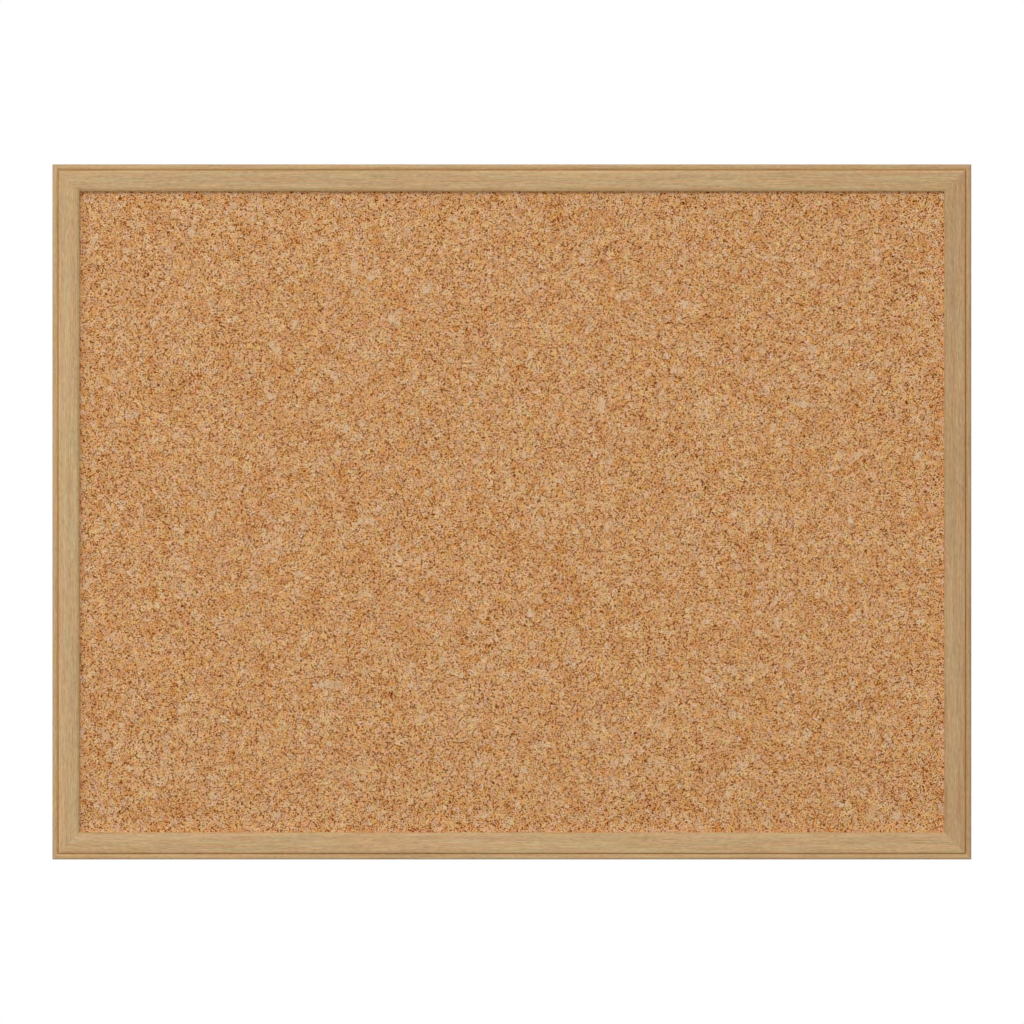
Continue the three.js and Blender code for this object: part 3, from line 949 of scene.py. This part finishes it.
def framers_point(name, finish):
    """A steel tab with a narrowed tip in the wood, rounded corners and a shallow pressed panel."""
    low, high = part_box(name)
    middle = (low + high) / 2
    size = high - low
    on_rail = size.z > size.x
    length = max(size.x, size.z)
    half = min(size.x, size.z) / 2
    tip = POINT_TIP_WIDTH / 2
    bm = bmesh.new()
    at = chain(bm, [
        (-tip, 0, 0), (tip, 0, 0), (half, 0, POINT_TIP_LENGTH), (half, 0, length - POINT_ROUNDING),
    ])
    centre = Vector((half - POINT_ROUNDING, 0, length - POINT_ROUNDING))
    last = swing(bm, at[-1], centre, (0, 1, 0), -QUARTER, CORNER_STEPS)[-1]
    centre.x = -centre.x
    start = bm.verts.new((centre.x, 0, length))
    bm.edges.new((last, start))
    last = swing(bm, start, centre, (0, 1, 0), -QUARTER, CORNER_STEPS)[-1]
    end = bm.verts.new((-half, 0, POINT_TIP_LENGTH))
    bm.edges.new((last, end))
    bm.edges.new((end, at[0]))
    thicken(bm, size.y)
    soften(bm, SHEARED_EDGE, angle=50)
    rear = max(bm.faces, key=lambda face: (round(face.normal.y, 3), face.calc_area()))
    bmesh.ops.inset_region(bm, faces=[rear], thickness=POINT_BORDER, depth=0)
    bmesh.ops.inset_region(bm, faces=[rear], thickness=POINT_PANEL_SLOPE, depth=-POINT_PANEL_DEPTH)
    inward = Vector((0, 0, MIDDLE.z - middle.z)) if on_rail else Vector((MIDDLE.x - middle.x, 0, 0))
    inward.normalize()
    outer = middle - inward * length / 2
    outer.y = low.y
    bm.transform(Matrix.Translation(outer) @ Matrix.Rotation(math.atan2(inward.x, inward.z), 4, "Y"))
    finish_piece(bm, f"{name}_tab", [finish], "board", name)


# Hangers


def strap(side, finish):
    """One steel strip folded round the ring's bar, both leaves rounded about the screw."""
    low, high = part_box(f"{side}_strap")
    half_width = (high.x - low.x) / 2
    half = LEAF_THICKNESS / 2
    loop_radius = WIRE_DIAMETER / 2 + LOOP_CLEARANCE + half
    bar = Vector(((low.x + high.x) / 2, low.y + half + loop_radius, high.z - loop_radius - half))
    end = bar.z - SCREW_BELOW_BAR - half_width - LEAF_SPARE
    tuck_middle = low.y + LEAF_THICKNESS + LEAF_SLIT + half + TUCK_RADIUS
    reach = loop_radius + TUCK_RADIUS
    wrap = math.acos((tuck_middle - bar.y) / reach)
    tuck = Vector((bar.x, tuck_middle, bar.z - reach * math.sin(wrap)))
    bm = bmesh.new()
    start = Matrix.Translation((bar.x, low.y + half, end))
    start @= Matrix.Diagonal((2 * half_width, LEAF_THICKNESS, 1, 1))
    strip = bmesh.ops.create_grid(bm, x_segments=1, y_segments=1, size=0.5, matrix=start)["verts"]
    bmesh.ops.bevel(
        bm, geom=strip, offset=LEAF_CORNER, segments=3, profile=0.5, affect="VERTICES", material=-1,
    )
    rim = [edge for edge in bm.edges if edge.is_boundary]
    rim = draw_out(bm, rim, (0, 0, bar.z - end))
    rim = bend(bm, rim, bar, (1, 0, 0), -(HALF_TURN + wrap), FOLD_STEPS)
    rim = bend(bm, rim, tuck, (1, 0, 0), wrap, BEND_STEPS)
    rim = draw_out(bm, rim, (0, 0, end - tuck.z))
    bmesh.ops.contextual_create(bm, geom=rim)
    bmesh.ops.recalc_face_normals(bm, faces=bm.faces)
    bm = cut(bm, strap_cutters(bar, half_width, end, low.y - OVERRUN, high.y + OVERRUN))
    finish_piece(bm, f"{side}_strap_hanger", [finish], "board", f"{side}_strap")


def strap_cutters(bar, half_width, end, front, back):
    """What the press takes off the strip: everything outside the rounded end, and the screw's hole."""
    screw = Vector((bar.x, front, bar.z - SCREW_BELOW_BAR))
    inner = half_width - PRESS_INSET
    outer = half_width + OVERRUN
    below = end - OVERRUN
    bm = bmesh.new()
    at = chain(bm, [(screw.x - outer, front, screw.z), (screw.x - inner, front, screw.z)])
    last = swing(bm, at[-1], screw, (0, 1, 0), -HALF_TURN, ROUND_STEPS)[-1]
    closing = chain(bm, [
        (screw.x + outer, front, screw.z), (screw.x + outer, front, below), (screw.x - outer, front, below),
    ])
    bm.edges.new((last, closing[0]))
    bm.edges.new((closing[-1], at[0]))
    thicken(bm, back - front)
    rod(bm, screw, screw + Vector((0, back - front, 0)), SCREW_DIAMETER / 2 + CLEARANCE)
    return bm


def d_ring(side, finish):
    """One bent wire, its butt ends meeting in the strap's loop."""
    low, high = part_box(f"{side}_ring")
    radius = WIRE_DIAMETER / 2
    half = (high.x - low.x) / 2 - radius
    bar = Vector(((low.x + high.x) / 2, (low.y + high.y) / 2, high.z - radius))
    bow = low.z + radius + half - bar.z
    straight = half - RING_BEND_RADIUS
    bm = bmesh.new()
    place = Matrix.Translation((RING_BUTT_GAP / 2, 0, 0)) @ Matrix.Rotation(QUARTER, 4, "Y")
    bmesh.ops.create_circle(bm, segments=WIRE_SIDES, radius=radius, matrix=place)
    rim = draw_out(bm, bm.edges[:], (straight - RING_BUTT_GAP / 2, 0, 0))
    rim = bend(bm, rim, (straight, 0, -RING_BEND_RADIUS), (0, 1, 0), QUARTER, BEND_STEPS)
    rim = draw_out(bm, rim, (0, 0, bow + RING_BEND_RADIUS))
    bend(bm, rim, (0, 0, bow), (0, 1, 0), QUARTER, BOW_STEPS)
    half_ring = bm.verts[:] + bm.edges[:] + bm.faces[:]
    bmesh.ops.mirror(bm, geom=half_ring, matrix=Matrix.Identity(4), merge_dist=RING_WELD, axis="X")
    bmesh.ops.holes_fill(bm, edges=[edge for edge in bm.edges if edge.is_boundary])
    bmesh.ops.recalc_face_normals(bm, faces=bm.faces)
    soften(bm, RING_BUTT_EDGE, angle=60)
    bm.transform(Matrix.Translation(bar))
    finish_piece(bm, f"{side}_d_ring", [finish], f"{side}_ring", f"{side}_ring")


def pan_head_screw(side, twist, finish):
    """A pan-head wood screw: a domed head with a cross recess, and a thread that runs to the tip."""
    low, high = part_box(f"{side}_screw")
    head_radius = (high.x - low.x) / 2
    axis = Vector(((low.x + high.x) / 2, 0, (low.z + high.z) / 2))
    seat = high.y - SCREW_HEAD_HEIGHT
    rim_level = seat + SCREW_HEAD_RIM
    core = axis.x + SCREW_CORE / 2
    bm = bmesh.new()
    profile = chain(bm, [
        (axis.x, low.y, axis.z), (core, low.y + SCREW_TIP, axis.z), (core, seat, axis.z),
        (axis.x + head_radius, seat, axis.z), (axis.x + head_radius, rim_level, axis.z),
    ])
    centre = Vector((axis.x, rim_level, axis.z))
    dome = swing(bm, profile[-1], centre, (0, 0, 1), QUARTER, BEND_STEPS)
    flatten = (SCREW_HEAD_HEIGHT - SCREW_HEAD_RIM) / head_radius
    bmesh.ops.scale(bm, vec=(1, flatten, 1), space=Matrix.Translation(-centre), verts=dome)
    turn(bm, axis)
    bm = cut(bm, cross_recess(axis, high.y, twist))
    crest = axis.x + SCREW_DIAMETER / 2
    foot = low.y + SCREW_TIP
    root = core - THREAD_ROOT
    ridge = chain(bm, [
        (root, foot, axis.z),
        (crest, foot + THREAD_PITCH / 4, axis.z),
        (root, foot + THREAD_PITCH / 2, axis.z),
    ])
    bm.edges.new((ridge[-1], ridge[0]))
    outline = list(dict.fromkeys(edge for vert in ridge for edge in vert.link_edges))
    end_of_ridge = bmesh.ops.contextual_create(bm, geom=outline)["faces"]
    turns = math.floor((seat - foot - THREAD_END) / THREAD_PITCH)
    bmesh.ops.spin(
        bm,
        geom=end_of_ridge,
        cent=axis,
        axis=(0, 1, 0),
        dvec=(0, THREAD_PITCH / THREAD_STEPS, 0),
        angle=FULL_TURN * turns,
        steps=THREAD_STEPS * turns,
        use_duplicate=False,
    )
    bmesh.ops.recalc_face_normals(bm, faces=bm.faces)
    finish_piece(bm, f"{side}_pan_head_screw", [finish], "board", f"{side}_screw")


def cross_recess(axis, top, twist):
    """The cross that the driver fits, turned as the screw was left."""
    bm = bmesh.new()
    for wide, deep in ((RECESS_LENGTH, RECESS_WIDTH), (RECESS_WIDTH, RECESS_LENGTH)):
        block(
            bm,
            Vector((-wide / 2, top - RECESS_DEPTH, -deep / 2)),
            Vector((wide / 2, top + OVERRUN, deep / 2)),
        )
    bm.transform(Matrix.Translation(axis) @ Matrix.Rotation(math.radians(twist), 4, "Y"))
    return bm


def bumper(side, finish):
    """A turned rubber foot with a rounded rim and a shallow dimple in its face."""
    low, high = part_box(f"{side}_bumper")
    radius = (high.x - low.x) / 2
    axis = Vector(((low.x + high.x) / 2, 0, (low.z + high.z) / 2))
    shoulder = high.y - BUMPER_ROUNDING
    flat = radius - BUMPER_ROUNDING
    bm = bmesh.new()
    profile = chain(bm, [
        (axis.x, low.y, axis.z), (axis.x + radius - BUMPER_FOOT, low.y, axis.z),
        (axis.x + radius, low.y + BUMPER_FOOT, axis.z), (axis.x + radius, shoulder, axis.z),
    ])
    corner = (axis.x + flat, shoulder, axis.z)
    rim = swing(bm, profile[-1], corner, (0, 0, 1), QUARTER, CORNER_STEPS)
    face = chain(bm, [
        (axis.x + flat * DIMPLE_RIM_SHARE, high.y, axis.z),
        (axis.x + flat * DIMPLE_FLOOR_SHARE, high.y - BUMPER_DIMPLE, axis.z),
        (axis.x, high.y - BUMPER_DIMPLE, axis.z),
    ])
    bm.edges.new((rim[-1], face[0]))
    turn(bm, axis)
    finish_piece(bm, f"{side}_rubber_bumper", [finish], "board", f"{side}_bumper", smooth=35)


# Surroundings: a pale floor, soft lamps and the camera


def make_camera():
    """A camera without perspective, straight on, that sees the board where the photograph has it."""
    data = bpy.data.cameras.new("straight_on")
    data.type = "ORTHO"
    data.ortho_scale = PHOTO_SIZE * WIDTH / (PHOTO_RIGHT - PHOTO_LEFT)
    camera = bpy.data.objects.new("straight_on", data)
    pixel = data.ortho_scale / PHOTO_SIZE
    right = (PHOTO_SIZE / 2 - (PHOTO_LEFT + PHOTO_RIGHT) / 2) * pixel
    down = (PHOTO_SIZE / 2 - (PHOTO_TOP + PHOTO_BOTTOM) / 2) * pixel
    camera.location = (right, -CAMERA_DISTANCE, MIDDLE.z - down)
    camera.rotation_euler = (QUARTER, 0, 0)
    bpy.context.scene.collection.objects.link(camera)
    bpy.context.scene.camera = camera


def make_world():
    """A white ground behind everything, and a plain soft light that is a little stronger from above."""
    world = bpy.data.worlds.new("studio")
    bpy.context.scene.world = world
    world.use_nodes = True
    nodes, links = world.node_tree.nodes, world.node_tree.links
    nodes.clear()
    direction = nodes.new("ShaderNodeTexCoord")
    split = nodes.new("ShaderNodeSeparateXYZ")
    links.new(direction.outputs["Generated"], split.inputs["Vector"])
    level = nodes.new("ShaderNodeMapRange")
    links.new(split.outputs["Z"], level.inputs["Value"])
    level.inputs["From Min"].default_value = -1.0
    level.inputs["To Min"].default_value = SKY_BELOW
    level.inputs["To Max"].default_value = SKY_ABOVE
    soft = nodes.new("ShaderNodeBackground")
    links.new(level.outputs["Result"], soft.inputs["Strength"])
    white = nodes.new("ShaderNodeBackground")
    white.inputs["Color"].default_value = (1, 1, 1, 1)

    def either_ray(first, second):
        node = nodes.new("ShaderNodeMath")
        node.operation = "MAXIMUM"
        links.new(first, node.inputs[0])
        links.new(second, node.inputs[1])
        return node.outputs["Value"]

    rays = nodes.new("ShaderNodeLightPath")
    shiny = either_ray(rays.outputs["Is Glossy Ray"], rays.outputs["Is Transmission Ray"])
    seen = either_ray(rays.outputs["Is Camera Ray"], shiny)
    either = nodes.new("ShaderNodeMixShader")
    links.new(seen, either.inputs[0])
    links.new(soft.outputs["Background"], either.inputs[1])
    links.new(white.outputs["Background"], either.inputs[2])
    output = nodes.new("ShaderNodeOutputWorld")
    links.new(either.outputs["Shader"], output.inputs["Surface"])


def make_lamp(name, location, size, watts):
    """A square soft lamp that looks at the middle of the board."""
    data = bpy.data.lights.new(name, "AREA")
    data.shape = "SQUARE"
    data.size = size
    data.energy = watts
    lamp = bpy.data.objects.new(name, data)
    lamp.location = location
    lamp.rotation_euler = (MIDDLE - Vector(location)).to_track_quat("-Z", "Y").to_euler()
    bpy.context.scene.collection.objects.link(lamp)


def make_floor():
    """A pale floor just under the board, which keeps its shadow and throws no light back up at it."""
    bm = bmesh.new()
    bmesh.ops.create_grid(bm, x_segments=1, y_segments=1, size=FLOOR_HALF)
    mesh = bpy.data.meshes.new("floor")
    bm.to_mesh(mesh)
    bm.free()
    floor = bpy.data.objects.new("floor", mesh)
    floor.location = (0, 0, cad_low.z - FLOOR_GAP)
    floor.visible_diffuse = False
    bpy.context.scene.collection.objects.link(floor)
    paint = Finish("floor_paint", roughness=0.9)
    mesh.materials.append(paint.color(tone(236, 236, 234)))


bpy.context.scene.view_settings.view_transform = "Standard"
make_camera()
make_world()
for lamp_name, (spot, width, watts) in LAMPS.items():
    make_lamp(lamp_name, spot, width, watts)
make_floor()

random.seed(7)
all_mouldings()
sheet("cork_sheet", CORK_STEP, cork_relief, "cork_face", cork_finish())
sheet("core_board", CORE_STEP, board_relief, "softboard_core", softboard_finish())
backing_board(grey_board_finish())

steel = plated_steel_finish()
for corner in ("bottom_left", "bottom_right", "top_right", "top_left"):
    v_nail(corner, steel)
for node_name in sorted(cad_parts):
    if node_name.startswith("framers_point"):
        framers_point(node_name, steel)

wire = wire_finish()
rubber = rubber_finish()
for side, twist in SCREW_TWISTS.items():
    strap(side, steel)
    d_ring(side, wire)
    pan_head_screw(side, twist, steel)
    bumper(side, rubber)
